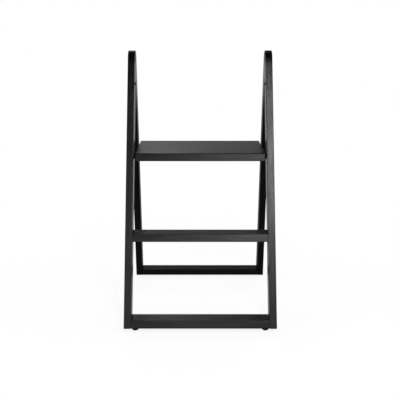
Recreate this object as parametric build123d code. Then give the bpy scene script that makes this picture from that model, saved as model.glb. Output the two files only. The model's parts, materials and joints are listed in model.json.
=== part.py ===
from build123d import *
import os
from math import cos, radians, sin, tan

# A folding wooden stepladder: a front frame with a lower step, a rear frame whose legs run up into
# rounded arches that are hinged to the front legs, and a top tread that folds up between the legs.
# Millimetres. +Z is up, the front faces -Y, and the origin is on the floor below the middle.

# Overall form
overall_width = 450
overall_height = 796
front_lean = 23.2           # degrees from upright
rear_lean = 12.4            # degrees from upright
arch_radius = 37
crotch_radius = 4

# Boards
leg_thickness = 22
leg_depth = 50
leg_round = 2
rail_thickness = 22
rail_round = 1.5
lower_step_height = 267     # floor to its top
lower_step_thickness = 22

# Top tread
tread_height = 495          # floor to its top
tread_thickness = 23
tread_depth = 245
tread_side_gap = 5.5        # to each leg
tread_corner = 7            # radius of its back corners, seen from above
tread_nose = 4              # radius of its top front edge
tread_round = 1.5           # radius of its other edges

# Arch hinges
hinge_below_crotch = 34     # along the front leg
tongue_thickness = 8
hinge_clearance = 0.3
horn_margin = 1.5           # degrees kept free beyond the fold
washer_diameter = 22
washer_thickness = 0.4
washer_play = 0.05          # on each face
hinge_head_diameter = 10
hinge_head_height = 3.5
hinge_head_bevel = 1.2
hinge_socket = 4            # across flats
hinge_socket_depth = 2
hinge_bolt_diameter = 6
hinge_bolt_length = 12
barrel_shortfall = 1        # the barrel ends this far inside the inner face

# Tread pivots
spacer_diameter = 18
insert_diameter = 10
insert_length = 18
tread_thread_diameter = 6
tread_thread_length = 15

# Pivot hardware that arch hinges and tread pivots share
pin_diameter = 8
bush_diameter = 11
flush_head_diameter = 14
flush_head_height = 2.5
flush_socket = 5            # across flats
flush_socket_depth = 3
running_clearance = 0.05    # pin in bush, all round
fit_clearance = 0.1         # pieces fixed to each other, all round
head_clearance = 0.3        # flush head in its recess, where it turns

# Joint between arch and rear leg
arch_leg_length = 75        # from the crotch down to the joint
tenon_thickness = 8
tenon_width = 30
tenon_length = 70
tenon_end_room = 1

# Dowels
dowel_diameter = 8
dowel_length = 38
dowel_in_leg = 14
dowel_spacing = 26
dowel_end_room = 1

# Feet and buffers
front_glide_height = 10
front_glide_diameter = 20
front_glide_bevel = 2.5
front_glide_inset = 11      # centre from the leg's inner face
front_glide_setback = 20    # centre from the rail's front edge
glide_floor = 2             # rubber left above the screw head
screw_diameter = 4
screw_length = 8
screw_head_diameter = 9
screw_head_height = 2.5
rear_glide_height = 3
rear_glide_diameter = 16
rear_glide_bevel = 0.8
nail_diameter = 3
nail_length = 14
buffer_diameter = 16
buffer_height = 2
buffer_bevel = 0.5
buffer_stem_diameter = 5
buffer_stem_length = 8
buffer_inset = 60           # centre from the leg's inner face
buffer_setback = 14         # centre from the rest rail's front edge
buffer_gap = 0.2            # to the tread's underside

# Shared places and sizes
alpha = radians(front_lean)
beta = radians(rear_lean)
fold_angle = front_lean + rear_lean
outer_x = overall_width / 2
inner_x = outer_x - leg_thickness
middle_x = outer_x - leg_thickness / 2
front_run = leg_depth / cos(alpha)      # level depth of a board in the front frame
rear_run = leg_depth / cos(beta)        # level depth of a board in the rear frame
knuckle_radius = leg_depth / 2

arch_z = overall_height - arch_radius
front_reach = (arch_z - front_glide_height) * tan(alpha) + arch_radius / cos(alpha)
rear_reach = (arch_z - rear_glide_height) * tan(beta) + arch_radius / cos(beta)
arch_y = (front_reach - rear_reach) / 2


def front_face(z):
    """Y of the front frame's front plane at a height."""
    return arch_y + (z - arch_z) * tan(alpha) - arch_radius / cos(alpha)


def rear_back(z):
    """Y of the rear frame's back plane at a height."""
    return arch_y - (z - arch_z) * tan(beta) + arch_radius / cos(beta)


def rear_face(z):
    """Y of the rear frame's front plane at a height."""
    return rear_back(z) - rear_run


# The crotch is where the inner faces of front and rear leg would meet
face_slopes = tan(alpha) + tan(beta)
crotch_drop = (leg_depth - arch_radius) * (1 / cos(alpha) + 1 / cos(beta)) / face_slopes
crotch_z = arch_z - crotch_drop
crotch_y = front_face(crotch_z) + front_run

hinge_y = crotch_y - hinge_below_crotch * sin(alpha) - knuckle_radius * cos(alpha)
hinge_z = crotch_z - hinge_below_crotch * cos(alpha) + knuckle_radius * sin(alpha)
arch_joint_y = crotch_y + arch_leg_length * sin(beta) + leg_depth / 2 * cos(beta)
arch_joint_z = crotch_z - arch_leg_length * cos(beta) + leg_depth / 2 * sin(beta)

tread_end_x = inner_x - tread_side_gap
tread_underside = tread_height - tread_thickness
pivot_z = tread_height - tread_thickness / 2
pivot_y = front_face(pivot_z) + front_run / 2

rest_top = tread_underside - buffer_gap - buffer_height
step_span = (lower_step_height - lower_step_thickness, lower_step_height)
front_rail_span = (front_glide_height, front_glide_height + rail_thickness)
rear_rail_span = (rear_glide_height, rear_glide_height + rail_thickness)
rest_rail_span = (rest_top - rail_thickness, rest_top)

tongue_x = (middle_x - tongue_thickness / 2, middle_x + tongue_thickness / 2)
slot_side = washer_thickness + 2 * washer_play
slot_x = (tongue_x[0] - slot_side, tongue_x[1] + slot_side)
head_x = outer_x - flush_head_height
recess_x = head_x - head_clearance

pin_bore = pin_diameter + 2 * fit_clearance
running_bore = pin_diameter + 2 * running_clearance
bush_bore = bush_diameter + 2 * fit_clearance

# Planes along the legs: local X runs back across a leg, local Y up along it, local Z is +X
front_leg_plane = Plane((0, hinge_y, hinge_z), x_dir=(0, cos(alpha), -sin(alpha)), z_dir=(1, 0, 0))
rear_leg_plane = Plane((0, arch_joint_y, arch_joint_z), x_dir=(0, cos(beta), sin(beta)), z_dir=(1, 0, 0))


def plate(outline, plane, x0, x1):
    """A flat board with a side-view outline, from x0 to x1."""
    return extrude(plane.offset(x0) * outline, x1 - x0)


def rod(x0, x1, y, z, diameter):
    """A round bar or bore along X."""
    return Pos((x0 + x1) / 2, y, z) * Rot(0, 90, 0) * Cylinder(diameter / 2, x1 - x0)


def tube(x0, x1, y, z, outside, inside):
    """A round sleeve along X."""
    return rod(x0, x1, y, z, outside) - rod(x0, x1, y, z, inside)


def socket(x0, x1, y, z, across_flats):
    """A six-sided recess along X."""
    outline = Pos(y, z) * RegularPolygon(across_flats / 2, 6, major_radius=False)
    return plate(outline, Plane.YZ, x0, x1)


def flush_socket_at(y, z):
    """The recess in the flush head of a pivot on the right side."""
    return socket(outer_x - flush_socket_depth, outer_x, y, z, flush_socket)


def post(x, y, z0, z1, diameter):
    """An upright round bar or bore."""
    return Pos(x, y, (z0 + z1) / 2) * Cylinder(diameter / 2, z1 - z0)


def left_of(piece):
    """The same piece on the left side."""
    return mirror(piece, about=Plane.YZ)


def both_sides(pieces):
    """Separate solids on the right and on the left, as one group."""
    return Compound(children=pieces + [left_of(piece) for piece in pieces])


def cut_both_sides(board, bores):
    """A cross board with the same bores at its right and left ends."""
    for bore in bores:
        board = board - bore - left_of(bore)
    return board


def side_board():
    """One whole side as an inverted V with an arched top and rounded edges, before it is cut apart."""
    front_tangent = (arch_y - arch_radius * cos(alpha), arch_z + arch_radius * sin(alpha))
    rear_tangent = (arch_y + arch_radius * cos(beta), arch_z + arch_radius * sin(beta))
    front_toe = (front_face(front_glide_height), front_glide_height)
    front_heel = (front_toe[0] + front_run, front_glide_height)
    rear_toe = (rear_face(rear_glide_height), rear_glide_height)
    rear_heel = (rear_toe[0] + rear_run, rear_glide_height)
    crotch = (crotch_y, crotch_z)
    outline = make_face(
        Line(front_toe, front_tangent)
        + ThreePointArc(front_tangent, (arch_y, overall_height), rear_tangent)
        + Polyline(rear_tangent, rear_heel, rear_toe, crotch, front_heel, front_toe)
    )
    outline = fillet(outline.vertices().sort_by_distance(crotch)[0], crotch_radius)
    board = plate(outline, Plane.YZ, inner_x, outer_x)
    edge_groups = board.edges().group_by(Axis.X)
    return fillet(edge_groups[0] + edge_groups[-1], leg_round)


def front_leg_region(shoulder, radius, round_start, round_end):
    """Outline that takes in the front leg up to the hinge. The shoulder is flat ahead of the pin, and
    behind it follows a circle about the pin from one angle to the other."""
    far = 2 * overall_height
    behind = knuckle_radius + crotch_radius / 2
    round_tip = (radius * cos(radians(round_end)), radius * sin(radians(round_end)))
    return make_face(
        Polyline((behind, -far), (-far, -far), (-far, shoulder), (0, shoulder))
        + CenterArc((0, 0), radius, round_start, round_end - round_start)
        + Polyline(round_tip, (behind, round_tip[1]), (behind, -far))
    )


def dowel_places(span, face, run):
    """Centres of the two dowels at the end of a level board."""
    z = sum(span) / 2
    middle = face(z) + run / 2
    return [(middle - dowel_spacing / 2, z), (middle + dowel_spacing / 2, z)]


def dowels(places):
    """Dowels that cross the right leg's inner face."""
    start = inner_x + dowel_in_leg - dowel_length
    return [rod(start, start + dowel_length, y, z, dowel_diameter) for y, z in places]


def dowel_bores(places):
    """Blind bores for those dowels."""
    start = inner_x + dowel_in_leg - dowel_length - dowel_end_room
    end = inner_x + dowel_in_leg + dowel_end_room
    return [rod(start, end, y, z, dowel_diameter + 2 * fit_clearance) for y, z in places]


def level_board(span, face, run):
    """A level cross board whose front and back edges lie in the faces of a leaning frame."""
    bottom, top = span
    outline = make_face(
        Polyline(
            (face(bottom), bottom),
            (face(bottom) + run, bottom),
            (face(top) + run, top),
            (face(top), top),
            close=True,
        )
    )
    board = plate(outline, Plane.YZ, -inner_x, inner_x)
    return fillet(board.edges().filter_by(Axis.X), rail_round)


step_dowels = dowel_places(step_span, front_face, front_run)
front_rail_dowels = dowel_places(front_rail_span, front_face, front_run)
rear_rail_dowels = dowel_places(rear_rail_span, rear_face, rear_run)
rest_rail_dowels = dowel_places(rest_rail_span, rear_face, rear_run)


def make_front_leg(board):
    """The right front leg: its middle third goes up into the arch as a tongue round the hinge pin."""
    clear_radius = knuckle_radius + hinge_clearance
    shoulder = front_leg_region(-clear_radius, clear_radius, -90, -fold_angle - horn_margin)
    tongue = front_leg_region(knuckle_radius, knuckle_radius, 90, 0)
    leg = board & plate(shoulder, front_leg_plane, inner_x, outer_x)
    leg += board & plate(tongue, front_leg_plane, *tongue_x)
    leg -= rod(*tongue_x, hinge_y, hinge_z, bush_bore)
    leg -= rod(inner_x, outer_x, pivot_y, pivot_z, bush_bore)
    leg -= rod(recess_x, outer_x, pivot_y, pivot_z, flush_head_diameter + 2 * head_clearance)
    for bore in dowel_bores(step_dowels + front_rail_dowels):
        leg -= bore
    return leg


def make_arch_and_rear_leg(board):
    """The right arch, forked over the tongue of the front leg, and the rear leg tenoned under it."""
    clear_radius = knuckle_radius + hinge_clearance
    cheek_end = front_leg_region(-knuckle_radius, knuckle_radius, -90, 0)
    slot = front_leg_region(clear_radius, clear_radius, 90, fold_angle + horn_margin)
    cane = board - plate(cheek_end, front_leg_plane, inner_x, outer_x)
    cane -= plate(slot, front_leg_plane, *slot_x)
    cane -= rod(inner_x, outer_x, hinge_y, hinge_z, pin_bore)
    cane -= rod(head_x, outer_x, hinge_y, hinge_z, flush_head_diameter + 2 * fit_clearance)
    cane -= make_tenon(fit_clearance, tenon_end_room)
    for bore in dowel_bores(rear_rail_dowels + rest_rail_dowels):
        cane -= bore
    cane -= post(middle_x, rear_glide_y, 0, nail_top + fit_clearance, nail_diameter + 2 * fit_clearance)
    joint = Plane(rear_leg_plane.origin, z_dir=rear_leg_plane.y_dir)
    return split(cane, bisect_by=joint, keep=Keep.TOP), split(cane, bisect_by=joint, keep=Keep.BOTTOM)


def make_tenon(side_room, end_room):
    """The loose tenon between arch and rear leg, or with some room, its mortises."""
    outline = Rectangle(tenon_width + 2 * side_room, tenon_length + 2 * end_room)
    half = tenon_thickness / 2 + side_room
    return plate(outline, rear_leg_plane, middle_x - half, middle_x + half)


def make_hinge_barrel():
    """The hinge pin: a flush-headed sleeve from outside."""
    barrel_x = inner_x + barrel_shortfall
    bore_end = inner_x + hinge_bolt_length + fit_clearance
    barrel = rod(barrel_x, head_x, hinge_y, hinge_z, pin_diameter)
    barrel += rod(head_x, outer_x, hinge_y, hinge_z, flush_head_diameter)
    barrel -= rod(barrel_x, bore_end, hinge_y, hinge_z, hinge_bolt_diameter + 2 * fit_clearance)
    return barrel - flush_socket_at(hinge_y, hinge_z)


def make_hinge_bolt():
    """The bolt that closes the sleeve. Its low round head shows on the inner face."""
    head_end = inner_x - hinge_head_height
    head = rod(head_end, inner_x, hinge_y, hinge_z, hinge_head_diameter)
    head = chamfer(head.edges().sort_by(Axis.X)[0], hinge_head_bevel)
    head -= socket(head_end, head_end + hinge_socket_depth, hinge_y, hinge_z, hinge_socket)
    return head + rod(inner_x, inner_x + hinge_bolt_length, hinge_y, hinge_z, hinge_bolt_diameter)


def make_hinge_washers():
    """Thin washers on both faces of the tongue."""
    starts = (tongue_x[0] - washer_play - washer_thickness, tongue_x[1] + washer_play)
    return [
        tube(start, start + washer_thickness, hinge_y, hinge_z, washer_diameter, pin_bore)
        for start in starts
    ]


def make_tread_bolt():
    """A flush bolt that turns in the leg's bush and is screwed into the tread's insert."""
    bolt = rod(tread_end_x, head_x, pivot_y, pivot_z, pin_diameter)
    bolt += rod(head_x, outer_x, pivot_y, pivot_z, flush_head_diameter)
    bolt += rod(tread_end_x - tread_thread_length, tread_end_x, pivot_y, pivot_z, tread_thread_diameter)
    return bolt - flush_socket_at(pivot_y, pivot_z)


def make_tread():
    """The top tread. Its front edge lies in the plane of the front legs and has a rounded nose, and its
    back corners are rounded."""
    back = front_face(tread_height) + tread_depth
    nose = (front_face(tread_height), tread_height)
    outline = make_face(
        Polyline(
            (front_face(tread_underside), tread_underside),
            (back, tread_underside),
            (back, tread_height),
            nose,
            close=True,
        )
    )
    outline = fillet(outline.vertices().sort_by_distance(nose)[0], tread_nose)
    board = plate(outline, Plane.YZ, -tread_end_x, tread_end_x)
    board = fillet(board.edges().filter_by(Axis.Z), tread_corner)
    nose_seams = board.edges().filter_by(Axis.X).sort_by(Axis.Y)[1:3]
    corner_seams = board.edges().filter_by(Axis.Z)
    board = fillet(board.edges() - nose_seams - corner_seams, tread_round)
    bore_x = tread_end_x - insert_length - fit_clearance
    bore = rod(bore_x, tread_end_x, pivot_y, pivot_z, insert_diameter + 2 * fit_clearance)
    return cut_both_sides(board, [bore])


# Front glides are held under the front rail by screws sunk into them
front_glide_x = inner_x - front_glide_inset
front_glide_y = front_face(front_glide_height) + front_glide_setback
screw_head_z = front_glide_height - glide_floor - screw_head_height
screw_neck_z = screw_head_z + screw_head_height
screw_top = screw_neck_z + screw_length
screw_bore = screw_diameter + 2 * fit_clearance


def front_glide_post(z0, z1, diameter):
    """An upright round bar or bore on the right front glide's axis."""
    return post(front_glide_x, front_glide_y, z0, z1, diameter)


def make_front_glide():
    """A round rubber foot with a recess for its screw."""
    glide = front_glide_post(0, front_glide_height, front_glide_diameter)
    glide = chamfer(glide.edges().sort_by(Axis.Z)[0], front_glide_bevel)
    glide -= front_glide_post(0, screw_neck_z, screw_head_diameter + 2 * fit_clearance)
    return glide - front_glide_post(0, front_glide_height, screw_bore)


def make_glide_screw():
    """The pan-head screw that holds a front glide."""
    screw = front_glide_post(screw_neck_z, screw_top, screw_diameter)
    return screw + front_glide_post(screw_head_z, screw_neck_z, screw_head_diameter)


# Rear glides are nailed into the ends of the rear legs
rear_glide_y = rear_face(rear_glide_height) + rear_run / 2
nail_top = rear_glide_height + nail_length


def make_rear_glide():
    """A thin round glide with its nail."""
    glide = post(middle_x, rear_glide_y, 0, rear_glide_height, rear_glide_diameter)
    glide = chamfer(glide.edges().sort_by(Axis.Z)[0], rear_glide_bevel)
    return glide + post(middle_x, rear_glide_y, rear_glide_height, nail_top, nail_diameter)


# Rubber buffers on the rest rail carry the back of the tread
buffer_x = inner_x - buffer_inset
buffer_y = rear_face(rest_top) + buffer_setback
stem_bottom = rest_top - buffer_stem_length


def make_buffer():
    """A low round buffer with a stem in the rest rail."""
    pad = post(buffer_x, buffer_y, rest_top, rest_top + buffer_height, buffer_diameter)
    pad = chamfer(pad.edges().sort_by(Axis.Z)[-1], buffer_bevel)
    return pad + post(buffer_x, buffer_y, stem_bottom, rest_top, buffer_stem_diameter)


board = side_board()
arch, rear_leg = make_arch_and_rear_leg(board)

lower_step = level_board(step_span, front_face, front_run)
lower_step = cut_both_sides(lower_step, dowel_bores(step_dowels))

front_rail = level_board(front_rail_span, front_face, front_run)
screw_hole = front_glide_post(0, screw_top + fit_clearance, screw_bore)
front_rail = cut_both_sides(front_rail, dowel_bores(front_rail_dowels) + [screw_hole])

rear_rail = level_board(rear_rail_span, rear_face, rear_run)
rear_rail = cut_both_sides(rear_rail, dowel_bores(rear_rail_dowels))

rest_rail = level_board(rest_rail_span, rear_face, rear_run)
stem_bore_diameter = buffer_stem_diameter + 2 * fit_clearance
stem_hole = post(buffer_x, buffer_y, stem_bottom - fit_clearance, rest_top, stem_bore_diameter)
rest_rail = cut_both_sides(rest_rail, dowel_bores(rest_rail_dowels) + [stem_hole])

# Pieces that come as a right and a left one, made on the right
paired_pieces = {
    "front_leg": make_front_leg(board),
    "front_glide": make_front_glide(),
    "hinge_bush": tube(*tongue_x, hinge_y, hinge_z, bush_diameter, running_bore),
    "tread_bush": tube(inner_x, recess_x, pivot_y, pivot_z, bush_diameter, running_bore),
    "rear_leg": rear_leg,
    "top_arch": arch,
    "arch_tenon": make_tenon(0, 0),
    "rear_glide": make_rear_glide(),
    "hinge_barrel": make_hinge_barrel(),
    "hinge_bolt": make_hinge_bolt(),
    "tread_bolt": make_tread_bolt(),
    "tread_spacer": tube(
        tread_end_x, inner_x - fit_clearance, pivot_y, pivot_z, spacer_diameter, running_bore
    ),
    "tread_insert": tube(
        tread_end_x - insert_length,
        tread_end_x,
        pivot_y,
        pivot_z,
        insert_diameter,
        tread_thread_diameter + 2 * fit_clearance,
    ),
}

# Pieces across the ladder, and groups of like small pieces
single_pieces = {
    "lower_step": lower_step,
    "front_bottom_rail": front_rail,
    "rear_bottom_rail": rear_rail,
    "tread_rest_rail": rest_rail,
    "top_tread": make_tread(),
    "front_dowels": both_sides(dowels(step_dowels + front_rail_dowels)),
    "rear_dowels": both_sides(dowels(rear_rail_dowels + rest_rail_dowels)),
    "front_glide_screws": both_sides([make_glide_screw()]),
    "hinge_washers": both_sides(make_hinge_washers()),
    "rest_buffers": both_sides([make_buffer()]),
}

os.makedirs("parts", exist_ok=True)
for name, piece in single_pieces.items():
    export_step(piece, f"parts/{name}.step")
for name, piece in paired_pieces.items():
    export_step(piece, f"parts/{name}_right.step")
    export_step(left_of(piece), f"parts/{name}_left.step")
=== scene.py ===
import json
from math import cos, pi, radians, sin, tan

import bmesh
import bpy
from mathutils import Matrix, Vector


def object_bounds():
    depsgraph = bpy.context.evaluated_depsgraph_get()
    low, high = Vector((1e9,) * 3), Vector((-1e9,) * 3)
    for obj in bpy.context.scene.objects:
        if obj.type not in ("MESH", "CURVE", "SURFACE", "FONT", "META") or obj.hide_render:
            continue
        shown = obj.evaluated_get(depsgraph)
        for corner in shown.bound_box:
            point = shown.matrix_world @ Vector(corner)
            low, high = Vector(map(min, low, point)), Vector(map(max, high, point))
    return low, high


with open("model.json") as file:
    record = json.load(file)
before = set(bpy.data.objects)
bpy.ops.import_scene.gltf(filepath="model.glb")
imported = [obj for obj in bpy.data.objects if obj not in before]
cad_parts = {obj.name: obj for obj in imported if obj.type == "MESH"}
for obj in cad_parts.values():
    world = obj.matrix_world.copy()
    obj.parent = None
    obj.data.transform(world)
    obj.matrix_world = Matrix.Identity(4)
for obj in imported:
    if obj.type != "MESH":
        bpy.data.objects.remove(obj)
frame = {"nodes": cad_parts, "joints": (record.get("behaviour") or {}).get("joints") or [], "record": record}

# A black wooden folding stepladder on a pale studio floor. Metres, in the frame of the solids:
# +Z is up, the front faces -Y, and the origin is on the floor below the middle.

cad_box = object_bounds()
scene = bpy.context.scene

# Camera, worked out from the ladder's edges in the photograph
image_pixels = 400
sensor_width = 36.0                 # millimetres, as is the focal length
focal_pixels = 800
camera_place = (-0.010, -2.477, 0.916)
camera_pitch = 13.28                # degrees below level
axis_left_of_middle = 3.1           # pixels

# Lean of the two frames, in degrees from upright. The tread folds up between the front legs and the rear
# frame folds on to them, so the folds give both leans.
joints = {joint["name"]: joint for joint in frame["joints"]}
front_lean = 90 - joints["tread_fold"]["range_deg"][1]
rear_lean = joints["rear_frame_fold"]["range_deg"][1] - front_lean

# Centre of the round top, which both legs run up to. Its circle touches the front leg's front face, and the
# tread's pivot lies half the leg's depth behind that face.
arch_radius = 0.037
leg_depth = 0.050
pivot = Vector(joints["tread_fold"]["pos_m"])
arch_z = cad_box[1][2] - arch_radius
middle_of_leg_y = pivot.y + (arch_z - pivot.z) * tan(radians(front_lean))
arch_y = middle_of_leg_y + (arch_radius - leg_depth / 2) / cos(radians(front_lean))
arch_centre = (0.0, arch_y, arch_z)


class Shader:
    """Short ways to add and link the nodes of one material."""

    def __init__(self, name):
        self.material = bpy.data.materials.new(name)
        self.material.use_nodes = True
        self.tree = self.material.node_tree
        self.surface = self.tree.nodes["Principled BSDF"]

    def add(self, kind, **settings):
        node = self.tree.nodes.new(kind)
        for key, value in settings.items():
            setattr(node, key, value)
        return node

    def link(self, source, target):
        self.tree.links.new(source, target)

    def feed(self, socket, value):
        """A number or colour goes on the socket itself, and another node's output is linked to it."""
        if isinstance(value, bpy.types.NodeSocket):
            self.link(value, socket)
        else:
            socket.default_value = value

    def place(self):
        """Coordinates that stay with the piece when it moves."""
        return self.add("ShaderNodeTexCoord").outputs["Object"]

    def axes(self, vector):
        """The outputs X, Y and Z of a vector."""
        node = self.add("ShaderNodeSeparateXYZ")
        self.link(vector, node.inputs["Vector"])
        return node.outputs

    def rotated(self, euler):
        """The piece's coordinates, turned so that the grain runs along their Z."""
        mapping = self.add("ShaderNodeMapping")
        mapping.inputs["Rotation"].default_value = euler
        self.link(self.place(), mapping.inputs["Vector"])
        return mapping.outputs["Vector"]

    def bent(self, centre, leans):
        """Coordinates for grain that runs up one leg, round an arch and down the other: X across the board,
        Y out from the arch's centre line, Z up."""
        place = self.place()
        axes = self.axes(place)
        outward = self.vector_math("SUBTRACT", place, centre)
        outward = self.vector_math("MULTIPLY", outward, (0, 1, 1))
        distances = []
        for lean in leans:
            up_the_leg = (0, sin(radians(lean)), cos(radians(lean)))
            climb = self.math("MINIMUM", self.vector_math("DOT_PRODUCT", outward, up_the_leg), 0.0)
            foot = self.vector_math("MULTIPLY", up_the_leg, climb)
            distances.append(self.vector_math("LENGTH", self.vector_math("SUBTRACT", outward, foot)))
        bent = self.add("ShaderNodeCombineXYZ")
        self.link(axes["X"], bent.inputs["X"])
        self.link(self.math("MINIMUM", *distances), bent.inputs["Y"])
        self.link(axes["Z"], bent.inputs["Z"])
        return bent.outputs["Vector"]

    def stretched(self, vector, scale):
        mapping = self.add("ShaderNodeMapping")
        mapping.inputs["Scale"].default_value = scale
        self.link(vector, mapping.inputs["Vector"])
        return mapping.outputs["Vector"]

    def noise(self, vector, scale, detail=2.0, roughness=0.5, distortion=0.0):
        node = self.add("ShaderNodeTexNoise")
        self.link(vector, node.inputs["Vector"])
        node.inputs["Scale"].default_value = scale
        node.inputs["Detail"].default_value = detail
        node.inputs["Roughness"].default_value = roughness
        node.inputs["Distortion"].default_value = distortion
        return node.outputs["Fac"]

    def grain_noise(self, along_grain, pattern, **settings):
        """Noise drawn out along the grain."""
        scale, share_along = pattern
        return self.noise(self.stretched(along_grain, (1, 1, share_along)), scale, **settings)

    def math(self, operation, a, b=0.0):
        node = self.add("ShaderNodeMath", operation=operation)
        self.feed(node.inputs[0], a)
        self.feed(node.inputs[1], b)
        return node.outputs["Value"]

    def vector_math(self, operation, a, b=(0, 0, 0)):
        node = self.add("ShaderNodeVectorMath", operation=operation)
        self.feed(node.inputs[0], a)
        self.feed(node.inputs[1], b)
        return node.outputs["Value" if operation in ("LENGTH", "DOT_PRODUCT") else "Vector"]

    def between(self, value, span, result=(0.0, 1.0)):
        """A value that runs smoothly over the result while another runs over the span."""
        node = self.add("ShaderNodeMapRange", interpolation_type="SMOOTHSTEP")
        self.link(value, node.inputs["Value"])
        node.inputs["From Min"].default_value, node.inputs["From Max"].default_value = span
        node.inputs["To Min"].default_value, node.inputs["To Max"].default_value = result
        return node.outputs["Result"]

    def blend(self, factor, a, b):
        """A colour between two others."""
        node = self.add("ShaderNodeMix", data_type="RGBA")
        self.link(factor, node.inputs["Factor"])
        self.feed(node.inputs["A"], a)
        self.feed(node.inputs["B"], b)
        return node.outputs["Result"]

    def bump(self, height, distance):
        """Relief on the surface and on its coat, where a height of 1 stands that distance proud."""
        node = self.add("ShaderNodeBump")
        node.inputs["Distance"].default_value = distance
        self.link(height, node.inputs["Height"])
        self.link(node.outputs["Normal"], self.surface.inputs["Normal"])
        self.link(node.outputs["Normal"], self.surface.inputs["Coat Normal"])

    def finish(self, **sockets):
        """Feeds the surface's sockets, given in lower case and with _ for each space."""
        for name, value in sockets.items():
            self.feed(self.surface.inputs[name.replace("_", " ").title().replace("Ior", "IOR")], value)
        return self.material


def grey(value, warmth=0.0):
    """A near-neutral colour."""
    return (value * (1 + warmth), value, value * (1 - warmth), 1.0)


def front_leg_grain(s):
    """Grain along the lean of the front legs."""
    return s.rotated((radians(front_lean), 0, 0))


def cross_grain(s):
    """Grain from side to side."""
    return s.rotated((0, radians(-90), 0))


def bent_grain(s):
    """Grain up the rear leg and round the arch."""
    return s.bent(arch_centre, (front_lean, -rear_lean))


# Most of a noise lies in this span
noise_span = (0.3, 0.7)

# Patterns in painted wood: features per metre across the grain, and the share of that along it
figure_pattern = (26, 0.07)
pore_pattern = (1100, 0.035)
brush_pattern = (420, 0.02)
cloud_pattern = (30, 0.3)
streak_pattern = (170, 0.06)
rings_in_figure = 14.0
pore_span = (0.56, 0.70)            # of the pores' noise, from none to open pores
ring_span_of_pores = (0.1, 0.7)     # of a ring's height, from few pores to all
few_to_all_pores = (0.25, 1.0)
brush_span = (0.2, 0.8)

# Black paint over that wood
paint_tones = (0.0025, 0.0042)
paint_warmth = 0.03
ring_tone = 0.0075
ring_warmth = 0.04
ring_share = 0.35                   # of the ring's tone in the paint
pore_tone = 0.001
paint_roughness = (0.27, 0.35)
pore_roughness = 0.18               # added in pores
ring_relief = 0.25                  # these three are shares of wood_relief
pore_relief = 0.8
brush_relief = 0.25
wood_relief = 0.00003
streak_gloss = (0.82, 1.18)         # times the board's gloss

# The rear frame is darkened with painted shade. Over these heights its gloss grows up the legs, and then
# fades on top of the arches.
rear_painted_shade_divisor = 2.4                # divides the tones of paint and rings
rear_low_gloss = 0.08
growing_gloss_heights = (0.48, 0.70)
fading_gloss_heights = (0.752, 0.772)
gloss_left_on_top = 0.25


def black_wood(name, grain, gloss, under_gloss, gloss_roughness=0.27, low_gloss=None, painted_shade_divisor=1.0):
    """Satin black paint, thin enough that growth rings and open pores still show as relief. Where a low gloss
    is given, the gloss starts from it low on the legs."""
    s = Shader(name)
    along_grain = grain(s)
    figure = s.grain_noise(along_grain, figure_pattern, detail=1.5, distortion=0.3)
    # Each ring rises from 0 to 1 and falls again
    ring_place = s.math("FRACT", s.math("MULTIPLY", figure, rings_in_figure))
    rings = s.math("PINGPONG", s.math("MULTIPLY", ring_place, 2.0), 1.0)
    pores = s.grain_noise(along_grain, pore_pattern, detail=3, roughness=0.6)
    pores = s.between(pores, pore_span)
    pores = s.math("MULTIPLY", pores, s.between(rings, ring_span_of_pores, few_to_all_pores))
    brush = s.grain_noise(along_grain, brush_pattern)
    cloud = s.grain_noise(along_grain, cloud_pattern)
    streaks = s.grain_noise(along_grain, streak_pattern, detail=3, roughness=0.6)

    # On the rear frame the paint and ring tones are divided down, as painted shade
    deep, pale = (grey(tone / painted_shade_divisor, paint_warmth) for tone in paint_tones)
    tone = s.blend(s.between(cloud, noise_span), deep, pale)
    tone = s.blend(s.math("MULTIPLY", rings, ring_share), tone, grey(ring_tone / painted_shade_divisor, ring_warmth))
    tone = s.blend(pores, tone, grey(pore_tone))

    roughness = s.between(brush, brush_span, paint_roughness)
    roughness = s.math("ADD", roughness, s.math("MULTIPLY", pores, pore_roughness))

    height = s.math("MULTIPLY", rings, ring_relief)
    height = s.math("SUBTRACT", height, s.math("MULTIPLY", pores, pore_relief))
    height = s.math("ADD", height, s.math("MULTIPLY", brush, brush_relief))
    s.bump(height, wood_relief)

    if low_gloss is not None:
        up = s.axes(along_grain)["Z"]
        gloss = s.between(up, growing_gloss_heights, (low_gloss, gloss))
        gloss = s.math("MULTIPLY", gloss, s.between(up, fading_gloss_heights, (1.0, gloss_left_on_top)))
    return s.finish(
        base_color=tone,
        roughness=roughness,
        specular_ior_level=under_gloss,
        coat_weight=s.math("MULTIPLY", s.between(streaks, noise_span, streak_gloss), gloss),
        coat_roughness=gloss_roughness,
    )


# Beech
fleck_pattern = (900, 0.08)
fleck_span = (0.55, 0.7)
fleck_relief = 0.00005
beech_tone = (0.55, 0.36, 0.21, 1.0)
fleck_tone = (0.36, 0.21, 0.11, 1.0)
beech_roughness = (0.5, 0.62)


def bare_wood(name):
    """Beech, with its short dark flecks. It only shows where a joint is taken apart."""
    s = Shader(name)
    flecks = s.grain_noise(cross_grain(s), fleck_pattern)
    tone = s.blend(s.between(flecks, fleck_span), beech_tone, fleck_tone)
    s.bump(flecks, fleck_relief)
    return s.finish(base_color=tone, roughness=s.between(flecks, noise_span, beech_roughness))


# Rubber and nylon
dust_scale = 60                     # features per metre
dust_span = (0.35, 0.75)
moulded_relief = 0.00006
moulded_gloss = 0.05


def black_plastic(name, tones, roughness, grain_size):
    """Moulded rubber or nylon with a fine even grain."""
    s = Shader(name)
    piece = s.place()
    grain = s.noise(piece, 1 / grain_size, detail=3)
    dust = s.noise(piece, dust_scale, detail=3)
    clean, dusty = (grey(tone) for tone in tones)
    tone = s.blend(s.between(dust, dust_span), clean, dusty)
    s.bump(grain, moulded_relief)
    return s.finish(
        base_color=tone,
        roughness=s.between(grain, noise_span, roughness),
        specular_ior_level=moulded_gloss,
    )


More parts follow.
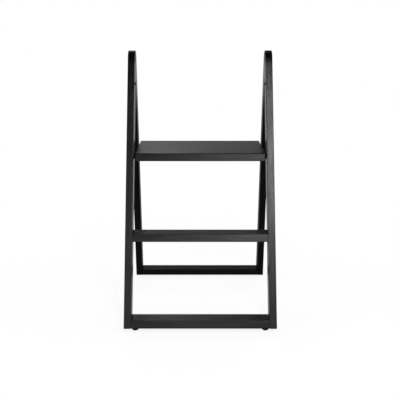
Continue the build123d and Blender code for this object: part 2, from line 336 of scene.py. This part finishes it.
# Steel and brass
polish_scale = 2500                 # features per metre
polish_stretch = (0.1, 1, 1)        # longer from side to side, as the bolts lie
polish_relief = 0.00002
tarnish_scale = 140
tarnish_span = (0.35, 0.7)
tarnish_share = 0.7                 # of the clean metal's tone
brass_tone = (0.66, 0.46, 0.17, 1.0)


def plated_metal(name, tone, roughness, metallic):
    """Metal with fine streaks of polish and a little tarnish."""
    s = Shader(name)
    piece = s.place()
    streaks = s.noise(s.stretched(piece, polish_stretch), polish_scale)
    tarnish = s.noise(piece, tarnish_scale, detail=3)
    darker = tuple(channel * tarnish_share for channel in tone[:3]) + (1.0,)
    colour = s.blend(s.between(tarnish, tarnish_span), tone, darker)
    s.bump(streaks, polish_relief)
    return s.finish(
        base_color=colour,
        roughness=s.between(streaks, noise_span, roughness),
        metallic=metallic,
    )


looks = {
    "front_leg": black_wood(
        "black wood of the front legs", front_leg_grain, gloss=0.30, under_gloss=0.004,
    ),
    # The arches, rear legs and rear rails have their tones divided down, as painted shade
    "arch": black_wood(
        "black wood of the arches", bent_grain, gloss=0.27, under_gloss=0.004,
        low_gloss=rear_low_gloss, painted_shade_divisor=rear_painted_shade_divisor,
    ),
    "rear_leg": black_wood(
        "black wood of the rear legs", bent_grain, gloss=0.27, under_gloss=0.001,
        low_gloss=rear_low_gloss, painted_shade_divisor=rear_painted_shade_divisor,
    ),
    "step": black_wood(
        "black wood of step and front rail", cross_grain, gloss=0.25, under_gloss=0.004,
    ),
    "rear_rail": black_wood(
        "black wood of the rear rails", cross_grain, gloss=0.10, under_gloss=0.002, painted_shade_divisor=rear_painted_shade_divisor,
    ),
    "tread": black_wood(
        "black wood of the tread", cross_grain, gloss=0.195, under_gloss=0.004, gloss_roughness=0.33,
    ),
    "bare_wood": bare_wood("bare wood"),
    "black_rubber": black_plastic(
        "black rubber", tones=(0.003, 0.005), roughness=(0.6, 0.75), grain_size=0.0006,
    ),
    "black_nylon": black_plastic(
        "black nylon", tones=(0.004, 0.007), roughness=(0.42, 0.55), grain_size=0.0009,
    ),
    "black_steel": plated_metal("blackened steel", grey(0.02), roughness=(0.3, 0.42), metallic=0.6),
    "zinc_steel": plated_metal("zinc plated steel", grey(0.55), roughness=(0.28, 0.4), metallic=1.0),
    "brass": plated_metal("brass", brass_tone, roughness=(0.25, 0.38), metallic=1.0),
}
wood_looks = {
    "front_leg": "front_leg",
    "rear_leg": "rear_leg",
    "top_arch": "arch",
    "lower_step": "step",
    "front_bottom_rail": "step",
    "rear_bottom_rail": "rear_rail",
    "tread_rest_rail": "rear_rail",
    "top_tread": "tread",
}
slot_of = {row["node"]: row["material_slot"] for row in frame["record"]["subparts"]}
for node, piece in frame["nodes"].items():
    look = slot_of[node]
    if look == "black_wood":
        family = node.removesuffix("_left").removesuffix("_right")
        look = wood_looks[family]
    piece.data.materials.clear()
    piece.data.materials.append(looks[look])

# Floor and backdrop: a round studio cove, white all round and open at the top
cove_radius = 5.5
cove_bend = 1.2
cove_height = 3.0
cove_sides = 96
cove_bend_steps = 10


def studio_cove():
    """A round floor that bends up into a wall."""
    profile = []
    for i in range(cove_bend_steps + 1):
        angle = pi / 2 * i / cove_bend_steps
        radius = cove_radius - cove_bend + cove_bend * sin(angle)
        profile.append((radius, cove_bend - cove_bend * cos(angle)))
    profile.append((cove_radius, cove_height))
    turns = [2 * pi * k / cove_sides for k in range(cove_sides)]
    mesh = bmesh.new()
    rows = []
    for radius, height in profile:
        rows.append([mesh.verts.new((radius * cos(t), radius * sin(t), height)) for t in turns])
    mesh.faces.new(rows[0])
    for low, high in zip(rows, rows[1:]):
        for k in range(cove_sides):
            after = (k + 1) % cove_sides
            mesh.faces.new((low[k], low[after], high[after], high[k]))
    bmesh.ops.recalc_face_normals(mesh, faces=mesh.faces)
    data = bpy.data.meshes.new("studio_cove")
    mesh.to_mesh(data)
    mesh.free()
    for polygon in data.polygons:
        polygon.use_smooth = len(polygon.vertices) == 4
    cove = bpy.data.objects.new("studio_cove", data)
    scene.collection.objects.link(cove)
    return cove


# Studio paint, with the share of plain white that is seen, by distance from the origin
speckle_scale = 3.0                 # features per metre
studio_greys = (0.79, 0.81)
shadow_distances = (0.5, 1.6)
white_shares = (0.86, 1.0)

# Where the wall behind the object loses its white in mirrors: high up, far back and more to the right
greying_heights = (1.05, 1.45)
greying_depths = (3.6, 4.9)
greying_sides = (-1.2, 1.2)
lost_shares = (0.62, 0.97)


def studio_white():
    """Pale paint that the camera, mirrors and glass see as white, but for the shadows near the object.
    In mirrors the wall behind the object falls softly to grey high up, as beside a dark card."""
    s = Shader("studio white")
    place = s.place()
    speckle = s.noise(place, speckle_scale)
    shown_share = s.between(s.vector_math("LENGTH", place), shadow_distances, white_shares)
    axes = s.axes(place)
    high = s.between(axes["Z"], greying_heights)
    behind = s.between(axes["Y"], greying_depths)
    rightward = s.between(axes["X"], greying_sides, lost_shares)
    dimmed = s.math("MULTIPLY", s.math("MULTIPLY", high, behind), rightward)
    paint = s.add("ShaderNodeBsdfDiffuse")
    darker, paler = (grey(value) for value in studio_greys)
    s.link(s.blend(speckle, darker, paler), paint.inputs["Color"])
    white = s.add("ShaderNodeEmission")
    white.inputs["Strength"].default_value = 1.0
    path = s.add("ShaderNodeLightPath")
    mirrored = s.math("MULTIPLY", path.outputs["Is Glossy Ray"], s.math("SUBTRACT", 1.0, dimmed))
    seen = s.math("MAXIMUM", path.outputs["Is Camera Ray"], mirrored)
    seen = s.math("MAXIMUM", seen, path.outputs["Is Transmission Ray"])
    mix = s.add("ShaderNodeMixShader")
    s.link(s.math("MULTIPLY", seen, shown_share), mix.inputs["Fac"])
    s.link(paint.outputs["BSDF"], mix.inputs[1])
    s.link(white.outputs["Emission"], mix.inputs[2])
    s.link(mix.outputs["Shader"], s.tree.nodes["Material Output"].inputs["Surface"])
    return s.material


cove = studio_cove()
cove.data.materials.append(studio_white())

# Lamps, each given by its bearing from the front (to the right), its height angle, distance and size
light_target = Vector((0, 0, 0.45))


def soft_box(name, bearing, elevation, distance, width, height, watts):
    """A soft box that points at the middle of the ladder and that the camera does not see."""
    lamp = bpy.data.lights.new(name, "AREA")
    lamp.shape = "RECTANGLE"
    lamp.size = width
    lamp.size_y = height
    lamp.energy = watts
    turn = radians(bearing)
    rise = radians(elevation)
    away = Vector((sin(turn) * cos(rise), -cos(turn) * cos(rise), sin(rise)))
    box = bpy.data.objects.new(name, lamp)
    box.location = light_target + away * distance
    box.rotation_euler = away.to_track_quat("Z", "Y").to_euler()
    box.visible_camera = False
    scene.collection.objects.link(box)


def pair_of_boxes(name, bearing, **settings):
    """Two soft boxes alike, to the left and to the right."""
    soft_box(f"{name}_left", -bearing, **settings)
    soft_box(f"{name}_right", bearing, **settings)


soft_box("key", 12, elevation=35.5, distance=2.6, width=0.45, height=0.85, watts=32)
soft_box("front_fill", 1, elevation=22, distance=2.6, width=0.9, height=0.9, watts=9)
soft_box("back_glow", -170, elevation=32, distance=3.0, width=0.8, height=0.5, watts=20)
pair_of_boxes("quarter", 45, elevation=17, distance=3.0, width=1.3, height=1.0, watts=14)
pair_of_boxes("side", 90, elevation=30, distance=3.0, width=1.6, height=1.6, watts=28)
soft_box("top_glow", 180, elevation=58, distance=3.2, width=2.2, height=1.2, watts=20)
pair_of_boxes("back", 135, elevation=10, distance=3.0, width=1.5, height=1.0, watts=24)

# Faint cool light from the open top
sky_colour = (0.95, 0.97, 1.0, 1.0)
sky_strength = 0.12

world = bpy.data.worlds.new("studio")
world.use_nodes = True
sky = world.node_tree.nodes["Background"]
sky.inputs["Color"].default_value = sky_colour
sky.inputs["Strength"].default_value = sky_strength
scene.world = world
scene.view_settings.view_transform = "Standard"

camera_data = bpy.data.cameras.new("camera")
camera_data.sensor_width = sensor_width
camera_data.lens = sensor_width * focal_pixels / image_pixels
camera_data.shift_x = axis_left_of_middle / image_pixels
camera = bpy.data.objects.new("camera", camera_data)
camera.location = camera_place
camera.rotation_euler = (radians(90 - camera_pitch), 0, 0)
scene.collection.objects.link(camera)
scene.camera = camera
